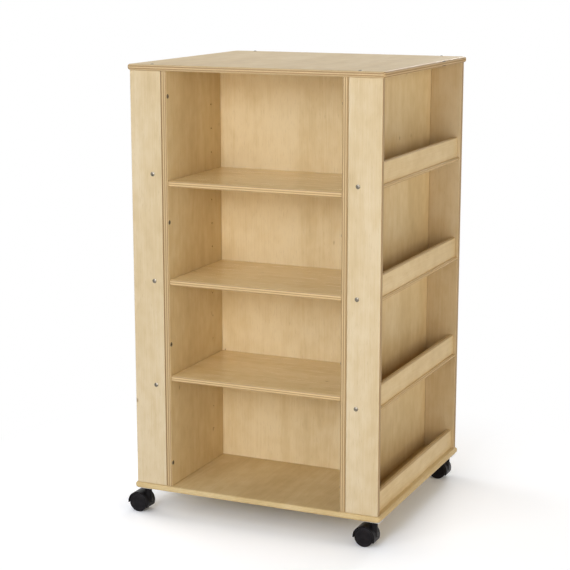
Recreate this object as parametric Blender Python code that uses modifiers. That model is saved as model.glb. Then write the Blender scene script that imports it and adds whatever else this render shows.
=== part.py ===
"""Four-sided plywood media tower on swivel casters, modelled at real size in metres.

The origin is on the floor, in the middle of the room that the tower and its casters take.
+Z is up and -Y is the front. Front and rear hold a shelf bay each, left and right hold a
column of display ledges.
"""
from math import acos, cos, pi, radians, sin

import bmesh
import bpy
from mathutils import Matrix, Vector

# Case: overall sizes across the corner stiles, and the clear height between base and top
TOWER_WIDTH = 0.670
TOWER_DEPTH = 0.618
CASE_HEIGHT = 1.070
PLY = 0.015
STILE_WIDTH = 0.0865
OVERHANG = 0.0065
GAP = 0.0003

# Rounded edges
PANEL_ROUND = 0.0062
PANEL_CORNER = 0.012
SHELF_ROUND = 0.005
EDGE_ROUND = 0.0025
ROUND_STEPS = 3
CORNER_STEPS = 5
ROUND_LIMIT = 0.45
SHARP_EDGE = radians(60)
SMOOTH_EDGE = radians(38)
MERGE = 0.00001

# Bay shelves, and the pins in the walls that carry them
SHELF_SPACING = 0.251
MIDDLE_SHELF_RISE = 0.004
SHELF_SETBACK = 0.003
SHELF_SIDE_GAP = 0.0008
PIN_RADIUS = 0.0025
PIN_REACH = 0.009
PIN_INSET = 0.055
PIN_SIDES = 12

# Display ledges and the lips that stand on them
LEDGE_COUNT = 3
LEDGE_PITCH = 0.2725
LEDGE_THICKNESS = 0.009
LEDGE_SETBACK = 0.002
LIP_HEIGHT = 0.0535
LIP_SETBACK = 0.007

# Screws through the top into the ends of the stiles
SCREW_LENGTH = 0.038
SHANK_RADIUS = 0.0022
HEAD_RADIUS = 0.0048
HEAD_HEIGHT = 0.0022
HEAD_RIM = 0.0007
SCREW_SIDES = 16
SCREW_INSET = 0.060
OVERCUT = 0.002

# Casters: a mounting plate with its kingpin, a hood that swivels on it, an axle and twin wheels
CASTER_INSET_X = 0.018
CASTER_INSET_Y = 0.024
WHEEL_RADIUS = 0.025
WHEEL_WIDTH = 0.017
WHEEL_ROUND = 0.004
WHEEL_STEPS = 28
RIM_WIDTH = 0.0045
DISH_DEPTH = 0.0012
AXLE_RADIUS = 0.003
AXLE_REACH = 0.012
RUNNING_GAP = 0.0006
RIB_THICKNESS = 0.008
HOOD_GAP = 0.0012
HOOD_WALL = 0.003
HOOD_STEPS = 40
HOOD_DROP = 0.007
HOOD_TILT = radians(10)
HOOD_EDGE = 0.001
TRAIL = 0.0205
NECK_HEIGHT = 0.0088
NECK_RADIUS = 0.0095
KINGPIN_RADIUS = 0.004
KINGPIN_LENGTH = 0.016
CUP_RADIUS = 0.011
CUP_HEIGHT = 0.004
CUP_BEVEL = 0.002
PLATE_SIZE = 0.040
PLATE_THICKNESS = 0.0025
PLATE_CORNER = 0.004
PLATE_HOLE_RADIUS = 0.0023
PLATE_HOLE_INSET = 0.006
PLATE_HOLE_SIDES = 12
PIVOT_SIDES = 20

# Heights that follow from the caster's stack; the faceted tread stands on a flat
AXLE_Z = WHEEL_RADIUS * cos(pi / WHEEL_STEPS)
HOOD_RADIUS = WHEEL_RADIUS + HOOD_GAP + HOOD_WALL
NECK_TOP = AXLE_Z + HOOD_RADIUS + NECK_HEIGHT
PLATE_LOW = NECK_TOP + GAP + CUP_HEIGHT
BASE_LOW = PLATE_LOW + PLATE_THICKNESS + GAP
FLOOR_Z = BASE_LOW + PLY
CEILING_Z = FLOOR_Z + CASE_HEIGHT

# Places that follow from the case; outer and inner are the two faces of a bay's side wall
HALF_WIDTH = TOWER_WIDTH / 2
HALF_DEPTH = TOWER_DEPTH / 2
WALL_OUTER = HALF_WIDTH - STILE_WIDTH
WALL_INNER = WALL_OUTER - PLY
BACK_FACE = PLY / 2
LEDGE_EDGE = HALF_WIDTH - LEDGE_SETBACK
LEDGE_ROUND = min(SHELF_ROUND, ROUND_LIMIT * LEDGE_THICKNESS)
WHEEL_INNER = RIB_THICKNESS / 2 + RUNNING_GAP
CASTER_X = HALF_WIDTH - CASTER_INSET_X
CASTER_Y = HALF_DEPTH - CASTER_INSET_Y

# The hoods trail out past the left edge of the base, so the tower stands a little right of the origin
TOWER_SHIFT = (CASTER_X + TRAIL + HOOD_RADIUS - HALF_WIDTH - OVERHANG) / 2

SIDES = (("left", -1), ("right", 1))
FACES = (("front", -1), ("rear", 1))
LEVELS = (("lower", -1), ("middle", 0), ("upper", 1))


def clear_scene():
    """Remove what the scene holds."""
    for item in list(bpy.data.objects):
        bpy.data.objects.remove(item, do_unlink=True)


def add_collection(name):
    """A collection in the scene."""
    group = bpy.data.collections.new(name)
    bpy.context.scene.collection.children.link(group)
    return group


clear_scene()
PARTS = add_collection("media_tower")
CUTTERS = add_collection("cutters")


def add_empty(name, place, parent=None):
    """A frame for other pieces to hang on."""
    empty = bpy.data.objects.new(name, None)
    PARTS.objects.link(empty)
    empty.parent = parent
    empty.location = place
    return empty


TOWER = add_empty("tower_middle", (TOWER_SHIFT, 0.0, 0.0))


def material(name, colour, roughness, metallic=0.0):
    """A plain surface in the colour that the photograph shows."""
    look = bpy.data.materials.new(name)
    look.use_nodes = True
    shader = look.node_tree.nodes["Principled BSDF"]
    shader.inputs["Base Color"].default_value = (*colour, 1.0)
    shader.inputs["Roughness"].default_value = roughness
    shader.inputs["Metallic"].default_value = metallic
    return look


BIRCH = material("birch_plywood", (0.71, 0.54, 0.34), 0.45)
STEEL = material("dark_screw_steel", (0.16, 0.15, 0.14), 0.35, 1.0)
ZINC = material("zinc_steel", (0.55, 0.55, 0.55), 0.35, 1.0)
HOOD_PLASTIC = material("black_hood_plastic", (0.012, 0.012, 0.014), 0.35)
WHEEL_PLASTIC = material("black_wheel_plastic", (0.016, 0.017, 0.020), 0.45)


def add_part(name, mesh, look, place=Matrix.Identity(4), parent=TOWER):
    """One named sub-part, placed in the frame of its parent."""
    part = bpy.data.objects.new(name, mesh)
    PARTS.objects.link(part)
    part.data.materials.clear()
    part.data.materials.append(look)
    part.parent = parent
    part.matrix_basis = place
    return part


def add_cutter(name, mesh, place=Matrix.Identity(4)):
    """A helper solid for a Boolean in the tower's frame, left out of renders and of the build."""
    cutter = bpy.data.objects.new(name, mesh)
    CUTTERS.objects.link(cutter)
    cutter.parent = TOWER
    cutter.matrix_basis = place
    cutter.display_type = "WIRE"
    cutter.hide_render = True
    return cutter


def to_mesh(name, shape):
    """A mesh from a bmesh, which is freed."""
    mesh = bpy.data.meshes.new(name)
    shape.to_mesh(mesh)
    shape.free()
    return mesh


def finished(part):
    """The part's mesh with its modifiers applied; the part and its helper solids are removed."""
    helpers = [item.object for item in part.modifiers if item.type == "BOOLEAN"]
    graph = bpy.context.evaluated_depsgraph_get()
    mesh = bpy.data.meshes.new_from_object(part.evaluated_get(graph))
    for item in [part, *helpers]:
        bpy.data.objects.remove(item, do_unlink=True)
    return mesh


def combine(part, other, operation):
    """Join a helper solid to a part, or cut it out."""
    boolean = part.modifiers.new(f"{operation.lower()}_{other.name}", "BOOLEAN")
    boolean.operation = operation
    boolean.solver = "EXACT"
    boolean.object = other


def bevel(part, width, steps, method):
    """Round the weighted edges of a part, or all its sharp ones."""
    rounding = part.modifiers.new(f"round_{method.lower()}", "BEVEL")
    rounding.width = width
    rounding.segments = steps
    rounding.limit_method = method
    rounding.angle_limit = SHARP_EDGE


def box_mesh(name, size, rounded=()):
    """A box about the origin; rounded lists edges as sign triples, such as (0, -1, 1) for front top."""
    shape = bmesh.new()
    bmesh.ops.create_cube(shape, size=1.0)
    weight = shape.edges.layers.float.new("bevel_weight_edge")
    for edge in shape.edges:
        middle = edge.verts[0].co + edge.verts[1].co
        edge[weight] = float(tuple(round(value) for value in middle) in rounded)
    bmesh.ops.scale(shape, vec=size, verts=shape.verts)
    return to_mesh(name, shape)


def cylinder_mesh(name, radius, length, sides):
    """An upright cylinder about the origin."""
    shape = bmesh.new()
    radii = {"radius1": radius, "radius2": radius}
    bmesh.ops.create_cone(shape, cap_ends=True, segments=sides, depth=length, **radii)
    return to_mesh(name, shape)


def turned_mesh(name, profile, steps):
    """A profile of (radius, height) points, top to bottom on its outer side, turned about Z."""
    shape = bmesh.new()
    points = [shape.verts.new((radius, 0.0, height)) for radius, height in profile]
    for upper, lower in zip(points, points[1:]):
        shape.edges.new((upper, lower))
    part = add_cutter(name, to_mesh(name, shape))
    screw = part.modifiers.new("turn", "SCREW")
    screw.steps = steps
    screw.render_steps = steps
    screw.use_merge_vertices = True
    screw.merge_threshold = MERGE
    return finished(part)


def repeated_mesh(name, mesh, places):
    """One mesh with a separate copy at each place."""
    shape = bmesh.new()
    for place in places:
        copy = mesh.copy()
        copy.transform(place)
        shape.from_mesh(copy)
        bpy.data.meshes.remove(copy)
    return to_mesh(name, shape)


def facing(point, outward):
    """The place whose +Z leaves a surface at a point."""
    turn = Vector((0.0, 0.0, 1.0)).rotation_difference(Vector(outward))
    return Matrix.Translation(point) @ turn.to_matrix().to_4x4()


def arc(centre, radius, start, end, steps):
    """Points on an arc in a turned profile, as (radius, height), between two angles."""
    angles = [start + (end - start) * step / steps for step in range(steps + 1)]
    return [(centre[0] + radius * cos(angle), centre[1] + radius * sin(angle)) for angle in angles]


def board(name, low, high, radius=EDGE_ROUND, rounded=()):
    """A straight plywood board between two corners."""
    low = Vector(low)
    high = Vector(high)
    middle = Matrix.Translation((low + high) / 2)
    part = add_part(name, box_mesh(name, high - low, rounded), BIRCH, middle)
    if rounded:
        bevel(part, radius, ROUND_STEPS, "WEIGHT")
    return part


def side_span(side, near, far):
    """A range along X given by distances from the middle, on the left or the right."""
    return sorted((side * near, side * far))


def face_span(face, near, far):
    """A range along Y given by distances from the middle, at the front or the rear."""
    return sorted((face * near, face * far))


def add_panel(name, low_z):
    """The top or the base: a board that overhangs all round, with round corners and a round edge."""
    corners = [(x, y, 0) for x in (-1, 1) for y in (-1, 1)]
    size = (TOWER_WIDTH + 2 * OVERHANG, TOWER_DEPTH + 2 * OVERHANG, PLY)
    middle = Matrix.Translation((0.0, 0.0, low_z + PLY / 2))
    panel = add_part(name, box_mesh(name, size, corners), BIRCH, middle)
    bevel(panel, PANEL_CORNER, CORNER_STEPS, "WEIGHT")
    bevel(panel, min(PANEL_ROUND, ROUND_LIMIT * PLY), ROUND_STEPS, "ANGLE")
    return panel


def add_walls():
    """The two side walls of the bays and the back that front and rear bay share."""
    low_z = FLOOR_Z + GAP
    high_z = CEILING_Z - GAP
    edges = [(x, y, 0) for x in (-1, 1) for y in (-1, 1)]
    walls = {}
    for side_name, side in SIDES:
        x = side_span(side, WALL_INNER, WALL_OUTER)
        low = (x[0], -HALF_DEPTH, low_z)
        high = (x[1], HALF_DEPTH, high_z)
        walls[side] = board(f"{side_name}_partition", low, high, EDGE_ROUND, edges)
    inside = WALL_INNER - GAP
    board("centre_back", (-inside, -BACK_FACE, low_z), (inside, BACK_FACE, high_z))
    return walls


def add_stiles():
    """The four corner boards, which close the display columns at front and rear."""
    stiles = {}
    for side_name, side in SIDES:
        x = side_span(side, WALL_OUTER + GAP, HALF_WIDTH)
        for face_name, face in FACES:
            y = face_span(face, HALF_DEPTH - PLY, HALF_DEPTH)
            low = (x[0], y[0], FLOOR_Z + GAP)
            high = (x[1], y[1], CEILING_Z - GAP)
            edges = [(side, -1, 0), (side, 1, 0), (-side, face, 0)]
            stiles[side, face] = board(f"{face_name}_{side_name}_stile", low, high, EDGE_ROUND, edges)
    return stiles


def shelf_underside(level):
    """Height of the underside of a bay shelf, counted from the middle one."""
    middle = FLOOR_Z + CASE_HEIGHT / 2 + MIDDLE_SHELF_RISE
    return middle + level * SHELF_SPACING - PLY / 2


def add_shelves():
    """Three shelves in each bay, which lie loose on their pins."""
    half = WALL_INNER - SHELF_SIDE_GAP
    near = BACK_FACE + GAP
    far = HALF_DEPTH - SHELF_SETBACK
    for face_name, face in FACES:
        y = face_span(face, near, far)
        for level_name, level in LEVELS:
            low_z = shelf_underside(level)
            edges = [(0, face, -1), (0, face, 1)]
            high = (half, y[1], low_z + PLY)
            board(f"{face_name}_{level_name}_shelf", (-half, y[0], low_z), high, SHELF_ROUND, edges)


def add_pins(walls):
    """The pins under the ends of the shelves, pressed into the walls for good."""
    length = PIN_REACH + PLY / 2
    pin = cylinder_mesh("pin", PIN_RADIUS, length, PIN_SIDES)
    depths = [face * y for _, face in FACES for y in (BACK_FACE + PIN_INSET, HALF_DEPTH - PIN_INSET)]
    heights = [shelf_underside(level) - GAP - PIN_RADIUS for _, level in LEVELS]
    for side, wall in walls.items():
        x = side * (WALL_INNER - PIN_REACH + length / 2)
        places = [facing((x, y, z), (side, 0, 0)) for y in depths for z in heights]
        pins = add_cutter(f"{wall.name}_pins", repeated_mesh("pins", pin, places))
        combine(wall, pins, "UNION")


def add_ledges():
    """The display ledges between the stiles, each with a lip; the lowest lip stands on the base."""
    half = HALF_DEPTH - PLY - GAP
    lip_names = ("base_lip", "lower_lip", "middle_lip", "upper_lip")
    for side_name, side in SIDES:
        lip_x = side_span(side, LEDGE_EDGE - LIP_SETBACK - PLY, LEDGE_EDGE - LIP_SETBACK)
        ledge_x = side_span(side, WALL_OUTER + GAP, LEDGE_EDGE)
        for row in range(LEDGE_COUNT + 1):
            top_z = FLOOR_Z + row * LEDGE_PITCH
            if row:
                low = (ledge_x[0], -half, top_z - LEDGE_THICKNESS)
                edges = [(side, 0, -1), (side, 0, 1)]
                name = f"{side_name}_{LEVELS[row - 1][0]}_ledge"
                board(name, low, (ledge_x[1], half, top_z), LEDGE_ROUND, edges)
            low = (lip_x[0], -half, top_z + GAP)
            high = (lip_x[1], half, top_z + GAP + LIP_HEIGHT)
            board(f"{side_name}_{lip_names[row]}", low, high, SHELF_ROUND, [(-1, 0, 1), (1, 0, 1)])


def add_top_screws(top, stiles):
    """A domed screw at each corner of the top, in a hole that runs on into the end of the stile."""
    crown = HEAD_HEIGHT - HEAD_RIM
    ball = (HEAD_RADIUS ** 2 + crown ** 2) / (2 * crown)
    dome = arc((0.0, HEAD_HEIGHT - ball), ball, pi / 2, acos(HEAD_RADIUS / ball), ROUND_STEPS)
    shank = [(HEAD_RADIUS, 0.0), (SHANK_RADIUS, 0.0), (SHANK_RADIUS, -SCREW_LENGTH), (0.0, -SCREW_LENGTH)]
    screw = turned_mesh("top_screw", dome + shank, SCREW_SIDES)
    depth = SCREW_LENGTH + OVERCUT
    hole = cylinder_mesh("top_screw_hole", SHANK_RADIUS + GAP, depth, SCREW_SIDES)
    hole.transform(Matrix.Translation((0.0, 0.0, OVERCUT - depth / 2)))
    places = []
    for (side, face), stile in stiles.items():
        x = side * (HALF_WIDTH - SCREW_INSET)
        y = face * (HALF_DEPTH - PLY / 2)
        place = Matrix.Translation((x, y, CEILING_Z + PLY))
        places.append(place)
        cutter = add_cutter(f"{stile.name}_hole", hole, place)
        combine(stile, cutter, "DIFFERENCE")
        name = stile.name.replace("stile", "top_screw")
        add_part(name, screw, STEEL, place @ Matrix.Translation((0.0, 0.0, GAP)))
    combine(top, add_cutter("top_panel_holes", repeated_mesh("holes", hole, places)), "DIFFERENCE")


def wheel_mesh():
    """A caster wheel about +Z: outer face up and slightly dished, blind bore for the axle below."""
    face = WHEEL_RADIUS - RIM_WIDTH
    shoulder = WHEEL_RADIUS - WHEEL_ROUND
    sunk = WHEEL_WIDTH - DISH_DEPTH
    dish = [(0.0, sunk), (face - DISH_DEPTH, sunk), (face, WHEEL_WIDTH)]
    outer = arc((shoulder, WHEEL_WIDTH - WHEEL_ROUND), WHEEL_ROUND, pi / 2, 0.0, ROUND_STEPS)
    inner = [(WHEEL_RADIUS, EDGE_ROUND), (WHEEL_RADIUS - EDGE_ROUND, 0.0)]
    bore = AXLE_RADIUS + GAP
    core = [(bore, 0.0), (bore, AXLE_REACH + GAP), (0.0, AXLE_REACH + GAP)]
    mesh = turned_mesh("wheel", dish + outer + inner + core, WHEEL_STEPS)
    mesh.transform(Matrix.Rotation(pi / WHEEL_STEPS, 4, "Z"))
    mesh.shade_smooth()
    mesh.set_sharp_from_angle(angle=SMOOTH_EDGE)
    return mesh


def hood_mesh():
    """A caster hood about its axle, which runs along Y, with the kingpin's neck ahead of it at +X."""
    along_y = Matrix.Rotation(pi / 2, 4, "X")
    half = WHEEL_INNER + WHEEL_WIDTH
    hood = add_cutter("hood", cylinder_mesh("hood", HOOD_RADIUS, 2 * half, HOOD_STEPS), along_y)
    bevel(hood, HOOD_EDGE, 1, "ANGLE")
    neck_top = HOOD_RADIUS + NECK_HEIGHT
    neck = cylinder_mesh("neck", NECK_RADIUS, neck_top, PIVOT_SIDES)
    combine(hood, add_cutter("neck", neck, Matrix.Translation((TRAIL, 0.0, neck_top / 2))), "UNION")
    well = cylinder_mesh("well", WHEEL_RADIUS + HOOD_GAP, 2 * WHEEL_WIDTH, HOOD_STEPS)
    centre = RIB_THICKNESS / 2 + WHEEL_WIDTH
    places = [Matrix.Translation((0.0, side * centre, 0.0)) @ along_y for side in (-1, 1)]
    combine(hood, add_cutter("wells", repeated_mesh("wells", well, places)), "DIFFERENCE")
    reach = 2 * (HOOD_RADIUS + TRAIL + NECK_RADIUS)
    below = Matrix.Translation((0.0, 0.0, -HOOD_DROP)) @ Matrix.Rotation(HOOD_TILT, 4, "Y")
    below = below @ Matrix.Translation((0.0, 0.0, -reach / 2))
    combine(hood, add_cutter("below", box_mesh("below", (reach, reach, reach)), below), "DIFFERENCE")
    axle_bore = cylinder_mesh("axle_bore", AXLE_RADIUS + GAP, 2 * half, SCREW_SIDES)
    combine(hood, add_cutter("axle_bore", axle_bore, along_y), "DIFFERENCE")
    depth = KINGPIN_LENGTH + OVERCUT
    pin_bore = cylinder_mesh("pin_bore", KINGPIN_RADIUS + GAP, depth, PIVOT_SIDES)
    place = Matrix.Translation((TRAIL, 0.0, neck_top + OVERCUT - depth / 2))
    combine(hood, add_cutter("pin_bore", pin_bore, place), "DIFFERENCE")
    mesh = finished(hood)
    mesh.transform(along_y)
    mesh.shade_smooth()
    mesh.set_sharp_from_angle(angle=SMOOTH_EDGE)
    return mesh


def plate_mesh():
    """A mounting plate about the swivel axis, with the bearing cup and the kingpin below it."""
    corners = [(x, y, 0) for x in (-1, 1) for y in (-1, 1)]
    plate = add_cutter("plate", box_mesh("plate", (PLATE_SIZE, PLATE_SIZE, PLATE_THICKNESS), corners))
    bevel(plate, PLATE_CORNER, ROUND_STEPS, "WEIGHT")
    low = -PLATE_THICKNESS / 2
    cup_low = low - CUP_HEIGHT
    pin_low = cup_low - KINGPIN_LENGTH + GAP
    cup = [(0.0, 0.0), (CUP_RADIUS, 0.0), (CUP_RADIUS, cup_low + CUP_BEVEL)]
    cup.append((CUP_RADIUS - CUP_BEVEL, cup_low))
    pin = [(KINGPIN_RADIUS, cup_low), (KINGPIN_RADIUS, pin_low), (0.0, pin_low)]
    combine(plate, add_cutter("pivot", turned_mesh("pivot", cup + pin, PIVOT_SIDES)), "UNION")
    hole = cylinder_mesh("plate_hole", PLATE_HOLE_RADIUS, PLATE_THICKNESS + 2 * OVERCUT, PLATE_HOLE_SIDES)
    offset = PLATE_SIZE / 2 - PLATE_HOLE_INSET
    places = [Matrix.Translation((x * offset, y * offset, 0.0)) for x, y, _ in corners]
    combine(plate, add_cutter("plate_holes", repeated_mesh("plate_holes", hole, places)), "DIFFERENCE")
    return finished(plate)


def add_casters():
    """Four casters at the corners; the hoods swivel about their plates and trail to the left."""
    plate = plate_mesh()
    hood = hood_mesh()
    wheel = wheel_mesh()
    axle = cylinder_mesh("axle", AXLE_RADIUS, 2 * (WHEEL_INNER + AXLE_REACH), SCREW_SIDES)
    for side_name, side in SIDES:
        for face_name, face in FACES:
            name = f"{face_name}_{side_name}_caster"
            x = side * CASTER_X
            y = face * CASTER_Y
            above = Matrix.Translation((x, y, PLATE_LOW + PLATE_THICKNESS / 2))
            add_part(f"{name}_plate", plate, ZINC, above)
            swivel = add_empty(f"{name}_swivel", (x, y, AXLE_Z), TOWER)
            behind = Matrix.Translation((-TRAIL, 0.0, 0.0))
            along_y = behind @ Matrix.Rotation(pi / 2, 4, "X")
            add_part(f"{name}_hood", hood, HOOD_PLASTIC, behind, swivel)
            add_part(f"{name}_axle", axle, STEEL, along_y, swivel)
            for wheel_name, outward in (("front_wheel", -1), ("rear_wheel", 1)):
                place = facing((-TRAIL, outward * WHEEL_INNER, 0.0), (0, outward, 0))
                add_part(f"{name}_{wheel_name}", wheel, WHEEL_PLASTIC, place, swivel)


def build_tower():
    """Build every piece of the tower in its place."""
    add_panel("base_panel", BASE_LOW)
    top = add_panel("top_panel", CEILING_Z)
    walls = add_walls()
    stiles = add_stiles()
    add_shelves()
    add_pins(walls)
    add_ledges()
    add_top_screws(top, stiles)
    add_casters()


build_tower()
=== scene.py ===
"""Looks of the plywood media tower: boards, fasteners, casters, studio and camera.

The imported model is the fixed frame. Every board is built again from its node's box with finely rounded
edges, and takes a birch plywood material whose plies follow the depth under its faces. Lengths are metres.
"""
from collections import namedtuple
from math import acos, cos, pi, radians, sin

import bmesh
import bpy
from mathutils import Matrix, Vector


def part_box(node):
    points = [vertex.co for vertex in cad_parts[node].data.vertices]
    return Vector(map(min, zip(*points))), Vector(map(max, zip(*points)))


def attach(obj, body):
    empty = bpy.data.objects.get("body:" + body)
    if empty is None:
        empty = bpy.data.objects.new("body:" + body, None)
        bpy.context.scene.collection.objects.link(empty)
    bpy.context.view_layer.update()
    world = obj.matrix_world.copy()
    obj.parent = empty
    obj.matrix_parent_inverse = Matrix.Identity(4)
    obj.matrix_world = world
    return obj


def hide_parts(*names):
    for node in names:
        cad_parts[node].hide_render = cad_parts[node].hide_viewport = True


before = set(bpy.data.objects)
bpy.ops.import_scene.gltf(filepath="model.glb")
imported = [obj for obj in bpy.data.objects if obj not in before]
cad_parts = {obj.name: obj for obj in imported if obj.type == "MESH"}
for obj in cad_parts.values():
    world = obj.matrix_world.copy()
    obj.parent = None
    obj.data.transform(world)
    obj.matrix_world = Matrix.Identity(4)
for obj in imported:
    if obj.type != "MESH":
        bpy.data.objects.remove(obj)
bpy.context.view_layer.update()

X, Y, Z = 0, 1, 2
AXES = (Vector((1, 0, 0)), Vector((0, 1, 0)), Vector((0, 0, 1)))
SIDES = (("left", -1), ("right", 1))
FACES = (("front", -1), ("rear", 1))
LEVELS = ("lower", "middle", "upper")

# Edge radii of the boards, close to the solids' own, the eased arris of the other edges, the steps of a round
# and the angle from which an edge stays sharp
PANEL_ROUND = 0.0062
PANEL_CORNER = 0.012
SHELF_ROUND = 0.005
LEDGE_ROUND = 0.004
EDGE_ROUND = 0.0025
ARRIS = 0.0006
EASE = 0.0004
CORNER_STEPS = 7
BULLNOSE_STEPS = 7
SHARP_EDGE = radians(42)

# Fasteners and the rows of pin holes
GAP = 0.0003
PIN_RADIUS = 0.0025
PIN_INSET = 0.055
PIN_TIP = 0.0006
PIN_TIP_STEPS = 4
PIN_STEPS = 24
HOLE_ROWS_UP = 3
HOLE_ROWS_DOWN = 3
HOLES_PER_SHELF = 4
HOLE_DEPTH = 0.009
SCREW_RADIUS = 0.0047
SCREW_RIM = 0.0005
SCREW_CROWN = 0.0013
CROWN_END = 0.49 * pi
CROWN_STEPS = 7
SCREW_TURN = radians(28)
RECESS_SPAN = 0.0054
RECESS_WIDTH = 0.0013
RECESS_DEPTH = 0.0012
SCREW_STEPS = 32
STILE_SCREW_X = 0.275
CASE_SCREW_SCALE = 1.2
WALL_SCREW_COUNT = 4
WALL_SCREW_LOW = 0.0625
WALL_SCREW_PITCH = 0.315
PLATE_SCREW_OFFSET = 0.014
PLATE_SCREW_SCALE = 0.74
PLATE_THICKNESS = 0.0025

# Caster wheels: the hub's shape in shares of its radius and rise, the dish's bend in shares of its depth, the
# grooves' places in shares of the wheel's width
WHEEL_WIDTH = 0.017
WHEEL_ROUND = 0.004
WHEEL_ROUND_STEPS = 7
WHEEL_INNER_STEPS = 4
WHEEL_STEPS = 72
RIM_WIDTH = 0.0045
DISH_DEPTH = 0.0012
DISH_BEND = (0.5, 0.4)
HUB_RADIUS = 0.0062
HUB_RISE = 0.0007
HUB_SHAPE = ((0.1, 1.0), (0.7, 0.85), (1.0, 0.3))
AXLE_BORE = 0.0033
AXLE_BORE_DEPTH = 0.0123
BORE_STEPS = 32
TREAD_GROOVE = 0.0004
TREAD_GROOVES = (0.58, 0.36)

# Caster hoods, in the axle's frame: the axle runs along Y and the kingpin stands ahead of it at +X
RIB_HALF = 0.004
WHEEL_INNER = 0.0046
HOOD_GAP = 0.0012
HOOD_WALL = 0.003
HOOD_RIM = 0.0012
HOOD_RIM_STEPS = 5
HOOD_STEPS = 96
HOOD_DROP = 0.007
HOOD_TILT = radians(10)
HOOD_CUT_REACH = 3.0
NECK_RADIUS = 0.0095
NECK_STEPS = 64
KINGPIN_BORE = 0.0043
KINGPIN_DEPTH = 0.018

# Plywood: thickness of its face and core veneers, and linear colours
FACE_VENEER = 0.0008
CORE_VENEER = 0.00268
BIRCH_DARK = (0.605, 0.452, 0.246)
BIRCH_MID = (0.680, 0.527, 0.302)
BIRCH_LIGHT = (0.745, 0.603, 0.380)
FLECK = (0.430, 0.295, 0.160)
KNOT = (0.250, 0.140, 0.062)
LONG_PLY = (0.650, 0.495, 0.288)
CROSS_PLY = (0.370, 0.240, 0.116)
GLUE_LINE = (0.300, 0.185, 0.090)
CORE_GAP = (0.090, 0.052, 0.024)

# Veneer: each noise has its scale along and across the grain, its detail and its distortion
CLOUD_NOISE = (1.7, 9.0, 2.0, 0.0)
GROWTH_NOISE = (0.9, 10.0, 1.0, 0.35)
STREAK_NOISE = (9.0, 340.0, 3.0, 0.0)
MOTTLE_NOISE = (24.0, 36.0, 1.0, 0.0)
FLECK_NOISE = (55.0, 820.0, 1.0, 0.0)
GROWTH_LINES = 62.0
CLOUD_WEIGHT = 0.48
STREAK_WEIGHT = 0.24
MOTTLE_WEIGHT = 0.28
GROWTH_WEIGHT = 0.020
TONE_STOPS = ((0.34, BIRCH_DARK), (0.50, BIRCH_MID), (0.66, BIRCH_LIGHT))
FLECK_RANGE = (0.62, 0.76)
FLECK_STRENGTH = 0.30
FLECK_DENT = 0.60
KNOT_CELLS = (6.0, 13.0, 0.0)
KNOT_EDGE = (0.045, 0.006)
KNOT_CHANCE = (0.86, 1.00)
KNOT_STRENGTH = 0.85
VENEER_RELIEF = (0.25, 0.0002)
SEED_STEP = 1.37

# Plies at the edges, and the roughness of the whole board
END_RANGE = (-0.1, 0.1)
CORE_RANGE = (0.94, 1.02)
CORE_ROUGHER = 0.10
GLUE_RANGE = (0.84, 0.95)
GLUE_STRENGTH = 0.60
LAYER_SHIFT = 4.7
GAP_CELLS = (16.0, 16.0, 0.0)
GAP_RANGE = (0.74, 0.77)
STREAK_RANGE = (0.30, 0.70)
EDGE_STREAKS = 0.35
BIRCH_ROUGHNESS = (0.30, 0.42)

# Camera, fitted to the edges of the case in the photograph. The sensor's width is in millimetres
PICTURE_SIZE = 570
SENSOR = 36.0
FOCAL_PIXELS = 1571.7
CAMERA_PLACE = (1.6180, -3.7422, 1.4284)
CAMERA_YAW = 0.4165
CAMERA_PITCH = 0.2056

# Studio
AIM = (0.0, 0.0, 0.55)
FLOOR_HALF = 60.0
FLOOR_GLOW = 0.30
# Reach of the occlusion that darkens the floor's glow into a painted shadow
FLOOR_SHADE_REACH = 0.19
FLOOR_SHOWN = (0.938, 0.955, 0.985)
FLOOR_BOUNCE = 0.82
FADE_START = 0.58
FADE_END = 1.02
AMBIENT = 0.06
WHITE = (1.0, 1.0, 1.0)

# Each lamp's name, place, size, watts and colour
LAMPS = (
    ("key", (0.1, -4.9, 2.5), 1.2, 68.0, (0.87, 0.99, 1.20)),
    ("front", (0.6, -4.4, 1.1), 2.0, 55.0, (1.0, 0.985, 0.95)),
    ("upper_left", (-1.2, -3.4, 3.5), 2.0, 46.0, WHITE),
    ("right_front", (3.2, -2.8, 1.2), 2.0, 30.0, (1.0, 0.82, 0.56)),
    ("right", (4.0, -0.3, 1.6), 2.4, 53.0, (1.0, 0.93, 0.82)),
    ("overhead", (-1.5, 0.3, 3.7), 2.0, 25.0, (1.0, 0.97, 0.95)),
    ("rear", (0.2, 4.2, 2.9), 2.0, 92.0, WHITE),
    ("left", (-4.0, 0.8, 2.2), 2.4, 45.0, WHITE),
)

Board = namedtuple("Board", "node grain thick along radii")
FinishAndPaintedLight = namedtuple("FinishAndPaintedLight", "gloss polish tone plies tint")
Surface = namedtuple("Surface", "name dark light rough cell")

# Metal and plastic: the fine noise's detail, roughness and range, the stops of the two colours, the spread of
# the surface's roughness, and the relief's strength and height. The dust's noise has a scale and a detail
FINE_NOISE = (3.0, 0.6)
FINE_RANGE = (0.3, 0.7)
METAL_STOPS = (0.35, 0.65)
METAL_SPREAD = (-0.06, 0.08)
METAL_RELIEF = (0.10, 0.00005)
GRIT_SCALE = 6.0
PLASTIC_STOPS = (0.35, 0.68)
PLASTIC_SPREAD = (-0.05, 0.07)
PLASTIC_RELIEF = (0.20, 0.00008)
PLASTIC_CLOUD_SCALE = 0.05
PLASTIC_GLOSS = 0.09
SCREW_STEEL = Surface("screw_steel", (0.15, 0.132, 0.104), (0.28, 0.248, 0.198), 0.30, 0.004)
ZINC_PLATE = Surface("zinc_plate", (0.52, 0.53, 0.54), (0.66, 0.66, 0.65), 0.34, 0.006)
HOOD_NYLON = Surface("hood_nylon", (0.007, 0.006, 0.007), (0.013, 0.012, 0.013), 0.34, 0.0006)
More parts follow.
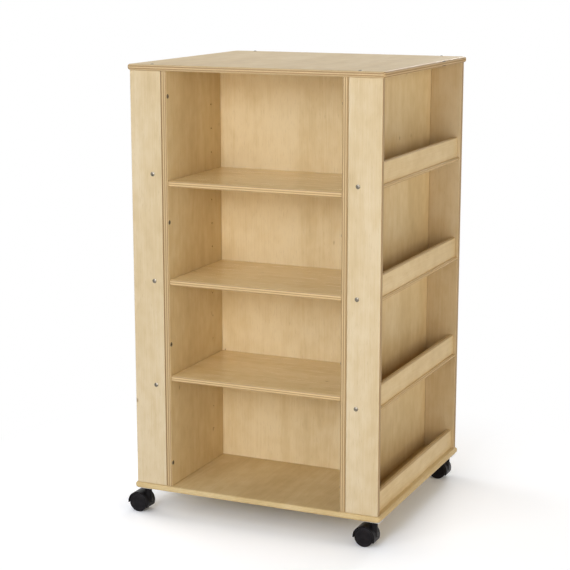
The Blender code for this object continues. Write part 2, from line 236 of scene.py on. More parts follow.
WHEEL_NYLON = Surface("wheel_nylon", (0.008, 0.007, 0.008), (0.015, 0.013, 0.015), 0.40, 0.0007)
TREAD_DUST = (0.075, 0.072, 0.068)
DUST_RADII = (0.0236, 0.0246)
DUST_NOISE = (260.0, 3.0)

# By the name of a board or its last word: specular level, polish, lightness of the veneer, strength of the
# plies and tint of the whole board. The lightness and the tint are partly each board's own veneer and partly
# painted light: boards of the one plywood are made lighter or darker, warmer or cooler, for the light that
# falls on them, the shelves and the back lighter above all. The base panel's weak plies are partly a painted
# highlight on its top rounding
FINISHES_AND_PAINTED_LIGHT = {
    "top_panel": FinishAndPaintedLight(0.03, 0.0, 0.00, 1.00, (0.98, 0.97, 0.96)),
    "base_panel": FinishAndPaintedLight(0.03, 0.0, 0.00, 0.16, (0.96, 0.94, 0.85)),
    "partition": FinishAndPaintedLight(0.04, 0.0, 0.01, 1.00, (0.97, 0.97, 0.95)),
    "back": FinishAndPaintedLight(0.04, 0.0, 0.08, 1.00, (1.08, 1.07, 1.03)),
    "stile": FinishAndPaintedLight(0.04, 0.0, 0.06, 1.00, (0.90, 0.91, 0.96)),
    "shelf": FinishAndPaintedLight(0.50, 0.14, 0.14, 0.95, (1.06, 1.01, 0.86)),
    "ledge": FinishAndPaintedLight(0.04, 0.0, 0.00, 0.60, (1.00, 0.97, 0.90)),
    "lip": FinishAndPaintedLight(0.04, 0.0, 0.00, 0.55, (1.04, 1.04, 1.03)),
}


def feed(tree, socket, value):
    """Link a socket to another, or set it to a constant."""
    if isinstance(value, bpy.types.NodeSocket):
        tree.links.new(value, socket)
    elif hasattr(value, "__len__") and len(value) == 3 and len(socket.default_value) == 4:
        socket.default_value = (*value, 1.0)
    else:
        socket.default_value = value


def add_node(tree, kind, inputs=(), **settings):
    """A node with its settings made and its named or numbered inputs fed."""
    node = tree.nodes.new(kind)
    for name, value in settings.items():
        setattr(node, name, value)
    for key, value in dict(inputs).items():
        feed(tree, node.inputs[key], value)
    return node


def calculate(tree, operation, *values):
    """A maths node."""
    return add_node(tree, "ShaderNodeMath", enumerate(values), operation=operation).outputs[0]


def vector_maths(tree, operation, first, second):
    """A vector maths node."""
    node = add_node(tree, "ShaderNodeVectorMath", {0: first, 1: second}, operation=operation)
    return node.outputs[0]


def blend(tree, factor, first, second, mode="MIX"):
    """A mix of two colours."""
    inputs = {0: factor, 6: first, 7: second}
    node = add_node(tree, "ShaderNodeMix", inputs, data_type="RGBA", blend_type=mode)
    return node.outputs[2]


def spread(tree, value, low, high, to_low=0.0, to_high=1.0):
    """A value mapped from one range to another and held inside it."""
    inputs = {"Value": value, "From Min": low, "From Max": high, "To Min": to_low, "To Max": to_high}
    return add_node(tree, "ShaderNodeMapRange", inputs).outputs[0]


def noise(tree, vector, scale=1.0, detail=2.0, roughness=0.5, distortion=0.0):
    """Smooth noise about one half."""
    inputs = {"Vector": vector, "Scale": scale, "Detail": detail, "Roughness": roughness}
    inputs["Distortion"] = distortion
    return add_node(tree, "ShaderNodeTexNoise", inputs).outputs[0]


def ramp(tree, value, stops):
    """Colours along a value."""
    node = add_node(tree, "ShaderNodeValToRGB", {0: value})
    while len(node.color_ramp.elements) < len(stops):
        node.color_ramp.elements.new(1.0)
    for element, (place, colour) in zip(node.color_ramp.elements, stops):
        element.position = place
        element.color = (*colour, 1.0)
    return node.outputs[0]


def bump(tree, height, strength, distance):
    """A normal from a height."""
    inputs = {"Height": height, "Strength": strength, "Distance": distance}
    return add_node(tree, "ShaderNodeBump", inputs).outputs[0]


def new_material(name):
    """A material, its node tree and its shader."""
    look = bpy.data.materials.new(name)
    look.use_nodes = True
    return look, look.node_tree, look.node_tree.nodes["Principled BSDF"]


def birch_group():
    """Birch plywood by place in the board, depth under its faces and how far the surface looks to an end."""
    tree = bpy.data.node_groups.new("birch_plywood", "ShaderNodeTree")
    floats = ("Depth", "End", "Seed", "Tone", "Plies")
    for name, kind in (("Grain", "Vector"), *((name, "Float") for name in floats)):
        tree.interface.new_socket(name=name, in_out="INPUT", socket_type=f"NodeSocket{kind}")
    for name, kind in (("Colour", "Color"), ("Roughness", "Float"), ("Height", "Float")):
        tree.interface.new_socket(name=name, in_out="OUTPUT", socket_type=f"NodeSocket{kind}")
    entry = tree.nodes.new("NodeGroupInput")
    grain = vector_maths(tree, "ADD", entry.outputs["Grain"], entry.outputs["Seed"])

    def stretched(along, across, detail, distortion):
        """Noise drawn out along the grain."""
        scaled = vector_maths(tree, "MULTIPLY", grain, (along, across, across))
        return noise(tree, scaled, detail=detail, distortion=distortion)

    # Face veneer: clouds of tone, growth lines as contours of a slow noise, fine streaks, mottle, flecks and
    # rare pin knots
    cloud = stretched(*CLOUD_NOISE)
    growth = calculate(tree, "SINE", calculate(tree, "MULTIPLY", stretched(*GROWTH_NOISE), GROWTH_LINES))
    streak = stretched(*STREAK_NOISE)
    mottle = stretched(*MOTTLE_NOISE)
    fleck = spread(tree, stretched(*FLECK_NOISE), *FLECK_RANGE)
    # The board's Tone input shifts its whole face lighter or darker, partly as painted light
    tone = calculate(tree, "MULTIPLY_ADD", cloud, CLOUD_WEIGHT, entry.outputs["Tone"])
    tone = calculate(tree, "MULTIPLY_ADD", streak, STREAK_WEIGHT, tone)
    tone = calculate(tree, "MULTIPLY_ADD", mottle, MOTTLE_WEIGHT, tone)
    tone = calculate(tree, "MULTIPLY_ADD", growth, GROWTH_WEIGHT, tone)
    face = ramp(tree, tone, TONE_STOPS)
    face = blend(tree, calculate(tree, "MULTIPLY", fleck, FLECK_STRENGTH), face, FLECK)
    cell_place = vector_maths(tree, "MULTIPLY", grain, KNOT_CELLS)
    inputs = {"Vector": cell_place, "Scale": 1.0}
    cells = add_node(tree, "ShaderNodeTexVoronoi", inputs, voronoi_dimensions="2D")
    chance = add_node(tree, "ShaderNodeSeparateColor", {0: cells.outputs["Color"]}).outputs[0]
    spot = spread(tree, cells.outputs["Distance"], *KNOT_EDGE)
    knot = calculate(tree, "MULTIPLY", spot, spread(tree, chance, *KNOT_CHANCE, 0.0, KNOT_STRENGTH))
    face = blend(tree, knot, face, KNOT)

    # Plies under the veneer, by turns long grain and darker end grain, with glue lines and a few core gaps
    buried = calculate(tree, "SUBTRACT", entry.outputs["Depth"], FACE_VENEER)
    layer = calculate(tree, "ADD", calculate(tree, "DIVIDE", buried, CORE_VENEER), 1.0)
    index = calculate(tree, "FLOOR", layer)
    part = calculate(tree, "FRACT", layer)
    end = spread(tree, entry.outputs["End"], *END_RANGE)
    cross = calculate(tree, "SUBTRACT", calculate(tree, "MODULO", index, 2.0), end)
    cross = calculate(tree, "ABSOLUTE", cross)
    core = calculate(tree, "MULTIPLY", spread(tree, layer, *CORE_RANGE), entry.outputs["Plies"])
    glue = calculate(tree, "MULTIPLY", spread(tree, part, *GLUE_RANGE), GLUE_STRENGTH)
    shift = calculate(tree, "MULTIPLY", index, LAYER_SHIFT)
    shifted = add_node(tree, "ShaderNodeCombineXYZ", {2: shift}).outputs[0]
    in_layer = vector_maths(tree, "ADD", vector_maths(tree, "MULTIPLY", grain, GAP_CELLS), shifted)
    gap = calculate(tree, "MULTIPLY", spread(tree, noise(tree, in_layer, detail=1.0), *GAP_RANGE), cross)
    edge = blend(tree, cross, LONG_PLY, CROSS_PLY)
    edge = blend(tree, spread(tree, streak, *STREAK_RANGE, 0.0, EDGE_STREAKS), edge, FLECK)
    edge = blend(tree, glue, edge, GLUE_LINE)
    edge = blend(tree, gap, edge, CORE_GAP)

    rough = spread(tree, streak, *STREAK_RANGE, *BIRCH_ROUGHNESS)
    rough = calculate(tree, "MULTIPLY_ADD", core, CORE_ROUGHER, rough)
    height = calculate(tree, "MULTIPLY_ADD", fleck, -FLECK_DENT, streak)
    height = calculate(tree, "SUBTRACT", height, calculate(tree, "MULTIPLY", glue, core))
    out = tree.nodes.new("NodeGroupOutput")
    feed(tree, out.inputs["Colour"], blend(tree, core, face, edge))
    feed(tree, out.inputs["Roughness"], rough)
    feed(tree, out.inputs["Height"], height)
    return tree


def birch(board, low, high, seed, group):
    """The plywood of one board, with its grain, thickness and seed."""
    look, tree, shader = new_material(f"birch_{board.node}")
    # The lightness and tint in this finish are partly painted light for how light falls on the board
    finish = FINISHES_AND_PAINTED_LIGHT.get(board.node) or FINISHES_AND_PAINTED_LIGHT[board.node.split("_")[-1]]
    middle = (low + high) / 2
    coordinates = add_node(tree, "ShaderNodeTexCoord").outputs
    place = vector_maths(tree, "SUBTRACT", coordinates["Object"], middle)
    parts = add_node(tree, "ShaderNodeSeparateXYZ", {0: place}).outputs
    across = X + Y + Z - board.grain - board.thick
    order = {0: parts[board.grain], 1: parts[across], 2: parts[board.thick]}
    grain = add_node(tree, "ShaderNodeCombineXYZ", order).outputs[0]
    from_middle = calculate(tree, "ABSOLUTE", parts[board.thick])
    depth = calculate(tree, "SUBTRACT", (high - low)[board.thick] / 2, from_middle)
    normal = add_node(tree, "ShaderNodeSeparateXYZ", {0: coordinates["Normal"]}).outputs
    to_end, to_edge = (calculate(tree, "ABSOLUTE", normal[axis]) for axis in (board.grain, across))
    ply = add_node(tree, "ShaderNodeGroup", node_tree=group)
    feed(tree, ply.inputs["Grain"], grain)
    feed(tree, ply.inputs["Depth"], depth)
    feed(tree, ply.inputs["End"], calculate(tree, "SUBTRACT", to_end, to_edge))
    feed(tree, ply.inputs["Seed"], seed)
    # Lightness and tint: partly the veneer's own colour, partly painted light
    feed(tree, ply.inputs["Tone"], finish.tone)
    feed(tree, ply.inputs["Plies"], finish.plies)
    tinted = blend(tree, 1.0, ply.outputs["Colour"], finish.tint, "MULTIPLY")
    polished = calculate(tree, "SUBTRACT", ply.outputs["Roughness"], finish.polish)
    feed(tree, shader.inputs["Base Color"], tinted)
    feed(tree, shader.inputs["Roughness"], polished)
    feed(tree, shader.inputs["Normal"], bump(tree, ply.outputs["Height"], *VENEER_RELIEF))
    feed(tree, shader.inputs["Specular IOR Level"], finish.gloss)
    return look


def metal(name, dark, light, rough, cell):
    """Plated steel with a faint patchy surface."""
    look, tree, shader = new_material(name)
    place = add_node(tree, "ShaderNodeTexCoord").outputs["Object"]
    patches = noise(tree, place, 1 / cell, *FINE_NOISE)
    grit = noise(tree, place, GRIT_SCALE / cell)
    roughness = [rough + change for change in METAL_SPREAD]
    feed(tree, shader.inputs["Base Color"], ramp(tree, patches, list(zip(METAL_STOPS, (dark, light)))))
    feed(tree, shader.inputs["Roughness"], spread(tree, patches, *FINE_RANGE, *roughness))
    feed(tree, shader.inputs["Normal"], bump(tree, grit, *METAL_RELIEF))
    feed(tree, shader.inputs["Metallic"], 1.0)
    return look


def plastic(name, dark, light, rough, cell):
    """Moulded plastic with a fine spark-eroded grain."""
    look, tree, shader = new_material(name)
    place = add_node(tree, "ShaderNodeTexCoord").outputs["Object"]
    pebble = noise(tree, place, 1 / cell, *FINE_NOISE)
    cloud = noise(tree, place, PLASTIC_CLOUD_SCALE / cell)
    roughness = [rough + change for change in PLASTIC_SPREAD]
    feed(tree, shader.inputs["Base Color"], ramp(tree, cloud, list(zip(PLASTIC_STOPS, (dark, light)))))
    feed(tree, shader.inputs["Roughness"], spread(tree, pebble, *FINE_RANGE, *roughness))
    feed(tree, shader.inputs["Normal"], bump(tree, pebble, *PLASTIC_RELIEF))
    feed(tree, shader.inputs["Specular IOR Level"], PLASTIC_GLOSS)
    return look


def wheel_plastic():
    """Black nylon with a dull, dusty tread."""
    look = plastic(*WHEEL_NYLON)
    tree = look.node_tree
    shader = tree.nodes["Principled BSDF"]
    place = add_node(tree, "ShaderNodeTexCoord").outputs["Object"]
    flat = vector_maths(tree, "MULTIPLY", place, (1.0, 1.0, 0.0))
    radius = add_node(tree, "ShaderNodeVectorMath", {0: flat}, operation="LENGTH").outputs["Value"]
    dust = calculate(tree, "MULTIPLY", spread(tree, radius, *DUST_RADII), noise(tree, place, *DUST_NOISE))
    plain = shader.inputs["Base Color"].links[0].from_socket
    feed(tree, shader.inputs["Base Color"], blend(tree, dust, plain, TREAD_DUST))
    return look


def lofted_mesh(name, rings):
    """A closed mesh through rings of as many points each, with a flat cap at either end."""
    shape = bmesh.new()
    rows = [[shape.verts.new(point) for point in ring] for ring in rings]
    count = len(rows[0])
    for lower, upper in zip(rows, rows[1:]):
        for step in range(count):
            following = (step + 1) % count
            shape.faces.new((lower[step], lower[following], upper[following], upper[step]))
    shape.faces.new(reversed(rows[0]))
    shape.faces.new(rows[-1])
    bmesh.ops.recalc_face_normals(shape, faces=shape.faces)
    mesh = bpy.data.meshes.new(name)
    shape.to_mesh(mesh)
    shape.free()
    return mesh


def turned_mesh(name, profile, steps):
    """A profile of (radius, height) points turned about Z, capped flat at both ends."""
    angles = [2 * pi * step / steps for step in range(steps)]
    rings = [[(radius * cos(a), radius * sin(a), height) for a in angles] for radius, height in profile]
    return lofted_mesh(name, rings)


def arc(centre, radius, start, end, steps):
    """Points on an arc between two angles."""
    angles = [start + (end - start) * step / steps for step in range(steps + 1)]
    return [(centre[0] + radius * cos(angle), centre[1] + radius * sin(angle)) for angle in angles]


def rounded_outline(low, high, radii, inset):
    """Points round a rectangle, drawn in by an inset, whose corners have a radius each."""
    points = []
    for turn, (sign_a, sign_b) in enumerate(((1, 1), (-1, 1), (-1, -1), (1, -1))):
        radius = max(radii.get((sign_a, sign_b), ARRIS) - inset, ARRIS - EASE)
        centre = []
        for sign, lowest, highest in ((sign_a, low[0], high[0]), (sign_b, low[1], high[1])):
            centre.append(highest - inset - radius if sign > 0 else lowest + inset + radius)
        points += arc(centre, radius, turn * pi / 2, (turn + 1) * pi / 2, CORNER_STEPS)
    return points


def board_mesh(name, low, high, axis, radii, end_round, end_steps):
    """A board whose outline is swept along an axis, with its two ends rounded."""
    first, second = (axis + 1) % 3, (axis + 2) % 3
    rise = arc((0.0, 0.0), end_round, -pi / 2, 0.0, end_steps)
    ends = [(end_round - x, end_round + y) for x, y in rise]
    levels = [(low[axis] + height, inset) for inset, height in ends]
    levels += [(high[axis] - height, inset) for inset, height in reversed(ends)]
    rings = []
    for level, inset in levels:
        corners = ((low[first], low[second]), (high[first], high[second]))
        outline = rounded_outline(*corners, radii, inset)
        rings.append([level * AXES[axis] + a * AXES[first] + b * AXES[second] for a, b in outline])
    return lofted_mesh(name, rings)


def repeated_mesh(name, mesh, places):
    """One mesh with a copy at each place."""
    shape = bmesh.new()
    for place in places:
        copy = mesh.copy()
        copy.transform(place)
        shape.from_mesh(copy)
        bpy.data.meshes.remove(copy)
    joined = bpy.data.meshes.new(name)
    shape.to_mesh(joined)
    shape.free()
    return joined


def combined_mesh(mesh, *steps):
    """A mesh after Booleans, each given as an operation and another mesh."""
    helpers = [bpy.data.objects.new(mesh.name, mesh)]
    for operation, other in steps:
        helper = bpy.data.objects.new(other.name, other)
        boolean = helpers[0].modifiers.new(operation, "BOOLEAN")
        boolean.operation = operation
        boolean.solver = "EXACT"
        boolean.object = helper
        helpers.append(helper)
    for helper in helpers:
        bpy.context.scene.collection.objects.link(helper)
    graph = bpy.context.evaluated_depsgraph_get()
    result = bpy.data.meshes.new_from_object(helpers[0].evaluated_get(graph))
    for helper in helpers:
        bpy.data.objects.remove(helper, do_unlink=True)
    return result


def facing(point, outward):
    """The place whose +Z leaves a surface at a point."""
    turn = Vector((0, 0, 1)).rotation_difference(Vector(outward))
    return Matrix.Translation(point) @ turn.to_matrix().to_4x4()


def add_piece(name, mesh, body, look, replaced=(), place=Matrix.Identity(4)):
    """A visible piece that rides on a body, smooth on its rounds and flat on its faces."""
    piece = bpy.data.objects.new(name, mesh)
    bpy.context.scene.collection.objects.link(piece)
    mesh.materials.clear()
    mesh.materials.append(look)
    mesh.shade_smooth()
    mesh.set_sharp_from_angle(angle=SHARP_EDGE)
    weighted = piece.modifiers.new("flat_faces", "WEIGHTED_NORMAL")
    weighted.keep_sharp = True
    piece.matrix_world = place
    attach(piece, body)
    if replaced:
        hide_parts(*replaced)


def dress(node, look):
    """Give a solid that stays in view its finish."""
    node.data.materials.clear()
    node.data.materials.append(look)


def list_boards():
    """Every board with its grain, thickness, sweep and rounded corners.

    The corners are given along the two axes that follow the sweep.
    """
    all_round = {(a, b): EDGE_ROUND for a in (-1, 1) for b in (-1, 1)}
    corners = {(a, b): PANEL_CORNER for a in (-1, 1) for b in (-1, 1)}
    boards = [Board(name, Y, Z, Z, corners) for name in ("top_panel", "base_panel")]
    boards.append(Board("centre_back", Z, Y, Z, {}))
    for side_name, side in SIDES:
        boards.append(Board(f"{side_name}_partition", Z, X, Z, all_round))
        for face_name, face in FACES:
            stile = {(side, -1): EDGE_ROUND, (side, 1): EDGE_ROUND, (-side, face): EDGE_ROUND}
            boards.append(Board(f"{face_name}_{side_name}_stile", Z, Y, Z, stile))
        for level in LEVELS:
            ledge = {(-1, side): LEDGE_ROUND, (1, side): LEDGE_ROUND}
            boards.append(Board(f"{side_name}_{level}_ledge", Y, Z, Y, ledge))
        for level in ("base", *LEVELS):
            lip = {(1, -1): SHELF_ROUND, (1, 1): SHELF_ROUND, (-1, -1): EASE, (-1, 1): EASE}
            boards.append(Board(f"{side_name}_{level}_lip", Y, X, Y, lip))
    for face_name, face in FACES:
        for level in LEVELS:
            shelf = {(face, -1): SHELF_ROUND, (face, 1): SHELF_ROUND}
            boards.append(Board(f"{face_name}_{level}_shelf", X, Z, X, shelf))
    return boards


def board_box(node):
    """A board's corners: a partition without the pins that its solid holds, a lip down to its glued joint."""
    low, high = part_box(node)
    if "partition" in node:
        ply = (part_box("centre_back")[1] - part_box("centre_back")[0]).y
        if node.startswith("left"):
            high.x = low.x + ply
        else:
            low.x = high.x - ply
    if node.endswith("lip"):
        low.z -= GAP
    return low, high


def shelf_undersides():
    """Heights of the undersides of the bay shelves, lowest first."""
    return [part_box(f"front_{level}_shelf")[0].z for level in LEVELS]


def pin_depths():
    """Places along Y of the two columns of pins in either bay: by the back, then by the front."""
    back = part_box("centre_back")[1].y + PIN_INSET
    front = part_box("left_partition")[1].y - PIN_INSET
    return [(face * back, face * front) for _, face in FACES]


def pin_hole_mesh(low, high, side):
    """Cutters for the column of pin holes by the back of either bay, in a partition's bay side."""
    undersides = shelf_undersides()
    pitch = (undersides[1] - undersides[0]) / HOLES_PER_SHELF
    lowest = undersides[0] - GAP - PIN_RADIUS - HOLE_ROWS_DOWN * pitch
    highest = undersides[-1] - GAP - PIN_RADIUS + HOLE_ROWS_UP * pitch
    count = round((highest - lowest) / pitch) + 1
    inner = high.x if side < 0 else low.x
    profile = [(PIN_RADIUS, -HOLE_DEPTH), (PIN_RADIUS, -EASE), (PIN_RADIUS + 2 * EASE, EASE)]
    hole = turned_mesh("pin_hole", profile, PIN_STEPS)
    places = []
    for back, _ in pin_depths():
        places += [facing((inner, back, lowest + row * pitch), (-side, 0, 0)) for row in range(count)]
    return repeated_mesh("pin_holes", hole, places)


def add_boards():
    """The boards of the case, each standing for its node."""
    group = birch_group()
    sides = dict(SIDES)
    for number, board in enumerate(list_boards()):
        low, high = board_box(board.node)
        panel = board.node.endswith("panel")
        ends = (PANEL_ROUND, BULLNOSE_STEPS) if panel else (EASE, 1)
        mesh = board_mesh(board.node, low, high, board.along, board.radii, *ends)
        if "partition" in board.node:
            side = sides[board.node.split("_")[0]]
            mesh = combined_mesh(mesh, ("DIFFERENCE", pin_hole_mesh(low, high, side)))
        look = birch(board, low, high, SEED_STEP * number, group)
        add_piece(f"{board.node}_board", mesh, "tower", look, [board.node])


def screw_head():
    """A domed screw head about +Z with a cross recess."""
    ball = (SCREW_RADIUS ** 2 + SCREW_CROWN ** 2) / (2 * SCREW_CROWN)
    top = SCREW_RIM + SCREW_CROWN
    profile = [(SCREW_RADIUS - 2 * EASE, -EASE), (SCREW_RADIUS, -EASE)]
    profile += arc((0.0, top - ball), ball, acos(SCREW_RADIUS / ball), CROWN_END, CROWN_STEPS)
    head = turned_mesh("screw_head", profile, SCREW_STEPS)
    deep = top - RECESS_DEPTH
    arm = Vector((RECESS_SPAN / 2, RECESS_WIDTH / 2, 0.0))
    bars = []
    for name, half in (("recess_x", arm), ("recess_y", arm.yxz)):
        low = -half + Vector((0, 0, deep))
        high = half + Vector((0, 0, 2 * top))
        bars.append(("DIFFERENCE", board_mesh(name, low, high, Z, {}, EASE / 2, 1)))
    return combined_mesh(head, *bars)


def add_screws(look):
    """Screw heads in the stiles, in the partitions' bay sides and on top, and the mesh of one head."""
    head = screw_head()
    base_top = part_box("base_panel")[1].z
    middle = (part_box("top_panel")[0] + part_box("top_panel")[1]).x / 2
    turn = Matrix.Rotation(SCREW_TURN, 4, "Z")
    larger = turn @ Matrix.Scale(CASE_SCREW_SCALE, 4)
    for side_name, side in SIDES:
        ledges = [sum(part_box(f"{side_name}_{level}_ledge"), Vector()) / 2 for level in LEVELS]
        for face_name, face in FACES:
            stile = f"{face_name}_{side_name}_stile"
            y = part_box(stile)[0].y if face < 0 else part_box(stile)[1].y
            x = middle + side * STILE_SCREW_X
            places = [facing((x, y, ledge.z), (0, face, 0)) @ larger for ledge in ledges]
            add_piece(f"{stile}_screws", repeated_mesh(stile, head, places), "tower", look)
            top_screw = f"{face_name}_{side_name}_top_screw"
            low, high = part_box(top_screw)
            seat = (low + high) / 2
            seat.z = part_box("top_panel")[1].z
            mesh = repeated_mesh(top_screw, head, [Matrix.Translation(seat) @ turn])
            add_piece(f"{top_screw}_head", mesh, "tower", look, [top_screw])
        wall = f"{side_name}_partition"
        low, high = board_box(wall)
        inner = high.x if side < 0 else low.x
        ply = (high - low).x
        heights = [base_top + WALL_SCREW_LOW + row * WALL_SCREW_PITCH for row in range(WALL_SCREW_COUNT)]
        points = [(inner, y, z) for y in (low.y + ply / 2, high.y - ply / 2) for z in heights]
        places = [facing(point, (-side, 0, 0)) @ larger for point in points]
        add_piece(f"{wall}_screws", repeated_mesh(wall, head, places), "tower", look)
    return head


def add_pins(look):
    """The pins that the bay shelves lie on."""
    for side_name, side in SIDES:
        low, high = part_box(f"{side_name}_partition")
        board_low, board_high = board_box(f"{side_name}_partition")
        wall = board_high.x if side < 0 else board_low.x
        reach = (high - low).x - (board_high - board_low).x
        profile = [(PIN_RADIUS - GAP, -HOLE_DEPTH + EASE), (PIN_RADIUS - GAP, reach - PIN_TIP)]
        tip = (PIN_RADIUS - GAP - PIN_TIP, reach - PIN_TIP)
        profile += arc(tip, PIN_TIP, 0.0, pi / 2, PIN_TIP_STEPS)
        pin = turned_mesh("pin", profile, PIN_STEPS)
        places = []
        for depths in pin_depths():
            for y in depths:
                for underside in shelf_undersides():
                    places.append(facing((wall, y, underside - GAP - PIN_RADIUS), (-side, 0, 0)))
        add_piece(f"{side_name}_shelf_pins", repeated_mesh("pins", pin, places), "tower", look)


def wheel_mesh(radius):
    """A caster wheel about +Z, outer face up: hub cap, dished disc, rim, crowned tread and blind bore."""
    face = radius - RIM_WIDTH
    sunk = WHEEL_WIDTH - DISH_DEPTH
    shoulder = (radius - WHEEL_ROUND, WHEEL_WIDTH - WHEEL_ROUND)
    profile = [(HUB_RADIUS * out, sunk + HUB_RISE * up) for out, up in HUB_SHAPE]
    profile += [(HUB_RADIUS + EASE, sunk), (face - DISH_DEPTH, sunk)]
    profile += [(face - DISH_DEPTH * DISH_BEND[0], sunk + DISH_DEPTH * DISH_BEND[1])]
    profile += [(face - EASE, WHEEL_WIDTH - EASE / 2), (face + EASE, WHEEL_WIDTH)]
    profile += arc(shoulder, WHEEL_ROUND, pi / 2, 0.0, WHEEL_ROUND_STEPS)
    for groove in TREAD_GROOVES:
        level = WHEEL_WIDTH * groove
        profile += [(radius, level + 2 * EASE), (radius - TREAD_GROOVE, level + EASE)]
        profile += [(radius - TREAD_GROOVE, level - EASE), (radius, level - 2 * EASE)]
    profile += arc((radius - EDGE_ROUND, EDGE_ROUND), EDGE_ROUND, 0.0, -pi / 2, WHEEL_INNER_STEPS)
    profile += [(AXLE_BORE, 0.0), (AXLE_BORE, AXLE_BORE_DEPTH)]
    return turned_mesh("wheel", profile, WHEEL_STEPS)


def hood_mesh(radius, trail, neck_top):
    """A caster hood about its axle: a shell over both wheels, a rib between them and the kingpin's neck."""
    along_y = Matrix.Rotation(pi / 2, 4, "X")
    half = WHEEL_INNER + WHEEL_WIDTH
    outer = radius + HOOD_GAP + HOOD_WALL
    edge = arc((outer - HOOD_RIM, HOOD_RIM - half), HOOD_RIM, -pi / 2, 0.0, HOOD_RIM_STEPS)
    edge += arc((outer - HOOD_RIM, half - HOOD_RIM), HOOD_RIM, 0.0, pi / 2, HOOD_RIM_STEPS)
    shell = turned_mesh("hood_shell", edge, HOOD_STEPS)
    shell.transform(along_y)
    top_rim = (NECK_RADIUS - HOOD_RIM, neck_top - HOOD_RIM)
    rounded_top = arc(top_rim, HOOD_RIM, 0.0, pi / 2, HOOD_RIM_STEPS)
    neck = turned_mesh("hood_neck", [(NECK_RADIUS, 0.0), *rounded_top], NECK_STEPS)
    neck.transform(Matrix.Translation((trail, 0.0, 0.0)))
    room = radius + HOOD_GAP
    well = turned_mesh("well", [(room, 0.0), (room, 2 * WHEEL_WIDTH)], HOOD_STEPS)
    sides = [Matrix.Translation((0.0, -RIB_HALF, 0.0)) @ along_y]
    sides.append(Matrix.Translation((0.0, RIB_HALF, 0.0)) @ along_y.inverted())
    wells = repeated_mesh("wells", well, sides)
    reach = HOOD_CUT_REACH * outer
    corners = (Vector((-reach, -reach, -2 * reach)), Vector((reach, reach, 0.0)))
    below = board_mesh("below", *corners, Z, {}, EASE, 1)
    below.transform(Matrix.Translation((0.0, 0.0, -HOOD_DROP)) @ Matrix.Rotation(HOOD_TILT, 4, "Y"))
    axle_bore = turned_mesh("axle_bore", [(AXLE_BORE, -half), (AXLE_BORE, half)], BORE_STEPS)
    axle_bore.transform(along_y)
    bore = [(KINGPIN_BORE, neck_top - KINGPIN_DEPTH), (KINGPIN_BORE, neck_top + EASE)]
    pin_bore = turned_mesh("pin_bore", bore, BORE_STEPS)
    pin_bore.transform(Matrix.Translation((trail, 0.0, 0.0)))
    cuts = [("DIFFERENCE", mesh) for mesh in (wells, below, axle_bore, pin_bore)]
    return combined_mesh(shell, ("UNION", neck), *cuts)


def add_casters(head, steel, zinc):
    """The casters: plate and axle keep their solids, hood and wheels get finer ones; four screws a plate."""
    hood_look = plastic(*HOOD_NYLON)
    wheel_look = wheel_plastic()
    wheel = hood = None
    for side_name, _ in SIDES:
        for face_name, _ in FACES:
            name = f"{face_name}_{side_name}_caster"
            plate_low, plate_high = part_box(f"{name}_plate")
            axle = sum(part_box(f"{name}_axle"), Vector()) / 2
            wheel_low, wheel_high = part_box(f"{name}_front_wheel")
            radius = (wheel_high - wheel_low).z / 2
            stem = (plate_low + plate_high) / 2
            wheel = wheel or wheel_mesh(radius)
            hood = hood or hood_mesh(radius, stem.x - axle.x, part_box(f"{name}_hood")[1].z - axle.z)
            dress(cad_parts[f"{name}_plate"], zinc)
            dress(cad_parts[f"{name}_axle"], steel)
            add_piece(f"{name}_hood_shell", hood, f"{name}_fork", hood_look,
                      [f"{name}_hood"], Matrix.Translation(axle))
            for which, outward in (("front_wheel", -1), ("rear_wheel", 1)):
                place = facing(axle + Vector((0, outward * WHEEL_INNER, 0)), (0, outward, 0))
                add_piece(f"{name}_{which}_disc", wheel, f"{name}_{which}", wheel_look,
                          [f"{name}_{which}"], place)
            places = []
            flange = plate_high.z - PLATE_THICKNESS
            for a in (-1, 1):
                for b in (-1, 1):
                    point = (stem.x + a * PLATE_SCREW_OFFSET, stem.y + b * PLATE_SCREW_OFFSET, flange)
                    places.append(facing(point, (0, 0, -1)) @ Matrix.Scale(PLATE_SCREW_SCALE, 4))
            add_piece(f"{name}_plate_screws", repeated_mesh("plate_screws", head, places), "tower", steel)


def seen_by_picture(tree):
    """One for rays of the picture, a reflection or a refraction, and nought for rays that carry light."""
    path = add_node(tree, "ShaderNodeLightPath").outputs
    seen = calculate(tree, "MAXIMUM", path["Is Camera Ray"], path["Is Glossy Ray"])
    return calculate(tree, "MAXIMUM", seen, path["Is Transmission Ray"])


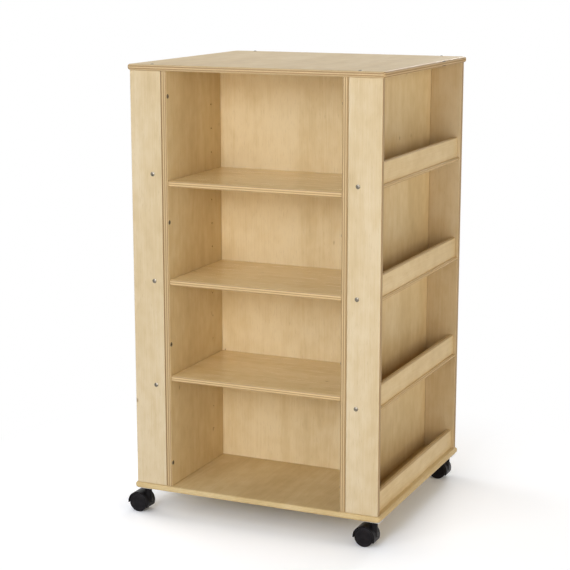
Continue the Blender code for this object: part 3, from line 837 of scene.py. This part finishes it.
def add_floor():
    """A pale floor that keeps the soft shadow near the tower and goes to plain white away from it.

    Its own glow is darkened by ambient occlusion where the tower stands close above it: a painted shadow.
    """
    shape = bmesh.new()
    bmesh.ops.create_grid(shape, x_segments=1, y_segments=1, size=FLOOR_HALF)
    mesh = bpy.data.meshes.new("floor")
    shape.to_mesh(mesh)
    shape.free()
    floor = bpy.data.objects.new("floor", mesh)
    bpy.context.scene.collection.objects.link(floor)
    look = bpy.data.materials.new("studio_floor")
    look.use_nodes = True
    tree = look.node_tree
    tree.nodes.clear()
    place = add_node(tree, "ShaderNodeNewGeometry").outputs["Position"]
    flat = vector_maths(tree, "MULTIPLY", place, (1.0, 1.0, 0.0))
    distance = add_node(tree, "ShaderNodeVectorMath", {0: flat}, operation="LENGTH").outputs["Value"]
    fade = {"Value": distance, "From Min": FADE_START, "From Max": FADE_END}
    away = add_node(tree, "ShaderNodeMapRange", fade, interpolation_type="SMOOTHSTEP").outputs[0]
    bounce = add_node(tree, "ShaderNodeBsdfDiffuse", {"Color": (FLOOR_BOUNCE,) * 3}).outputs[0]
    lit = add_node(tree, "ShaderNodeBsdfDiffuse", {"Color": FLOOR_SHOWN}).outputs[0]
    # Painted shadow: ambient occlusion darkens the floor's glow under and beside the tower
    clear = add_node(tree, "ShaderNodeAmbientOcclusion", {"Distance": FLOOR_SHADE_REACH}).outputs["AO"]
    strength = calculate(tree, "MULTIPLY", clear, FLOOR_GLOW)
    glow = add_node(tree, "ShaderNodeEmission", {"Color": WHITE, "Strength": strength}).outputs[0]
    plain = add_node(tree, "ShaderNodeEmission", {"Color": WHITE, "Strength": 1.0}).outputs[0]
    near = add_node(tree, "ShaderNodeAddShader", {0: lit, 1: glow}).outputs[0]
    shown = add_node(tree, "ShaderNodeMixShader", {0: away, 1: near, 2: plain}).outputs[0]
    result = add_node(tree, "ShaderNodeMixShader", {0: seen_by_picture(tree), 1: bounce, 2: shown}).outputs[0]
    add_node(tree, "ShaderNodeOutputMaterial", {"Surface": result})
    mesh.materials.append(look)


def add_world():
    """White surroundings for the picture, a plain level of light for everything else."""
    world = bpy.data.worlds.new("studio")
    bpy.context.scene.world = world
    world.use_nodes = True
    tree = world.node_tree
    tree.nodes.clear()
    light = add_node(tree, "ShaderNodeBackground", {"Color": WHITE, "Strength": AMBIENT}).outputs[0]
    shown = add_node(tree, "ShaderNodeBackground", {"Color": WHITE, "Strength": 1.0}).outputs[0]
    result = add_node(tree, "ShaderNodeMixShader", {0: seen_by_picture(tree), 1: light, 2: shown}).outputs[0]
    add_node(tree, "ShaderNodeOutputWorld", {"Surface": result})


def add_light(name, place, size, watts, colour):
    """A soft square lamp aimed at the tower."""
    lamp = bpy.data.lights.new(name, "AREA")
    lamp.shape = "SQUARE"
    lamp.size = size
    lamp.energy = watts
    lamp.color = colour
    light = bpy.data.objects.new(name, lamp)
    bpy.context.scene.collection.objects.link(light)
    light.location = place
    aim = Vector(AIM) - Vector(place)
    light.rotation_euler = aim.to_track_quat("-Z", "Y").to_euler()
    light.visible_camera = False


def add_camera():
    """The camera at the photograph's viewing angle."""
    lens = bpy.data.cameras.new("camera")
    lens.sensor_width = SENSOR
    lens.lens = FOCAL_PIXELS / PICTURE_SIZE * SENSOR
    camera = bpy.data.objects.new("camera", lens)
    bpy.context.scene.collection.objects.link(camera)
    camera.location = CAMERA_PLACE
    camera.rotation_euler = (pi / 2 - CAMERA_PITCH, 0.0, CAMERA_YAW)
    bpy.context.scene.camera = camera


bpy.context.scene.view_settings.view_transform = "Standard"
add_camera()
add_floor()
add_world()
for lamp in LAMPS:
    add_light(*lamp)
add_boards()
screw_steel = metal(*SCREW_STEEL)
zinc_plate = metal(*ZINC_PLATE)
add_pins(zinc_plate)
head_mesh = add_screws(screw_steel)
add_casters(head_mesh, screw_steel, zinc_plate)
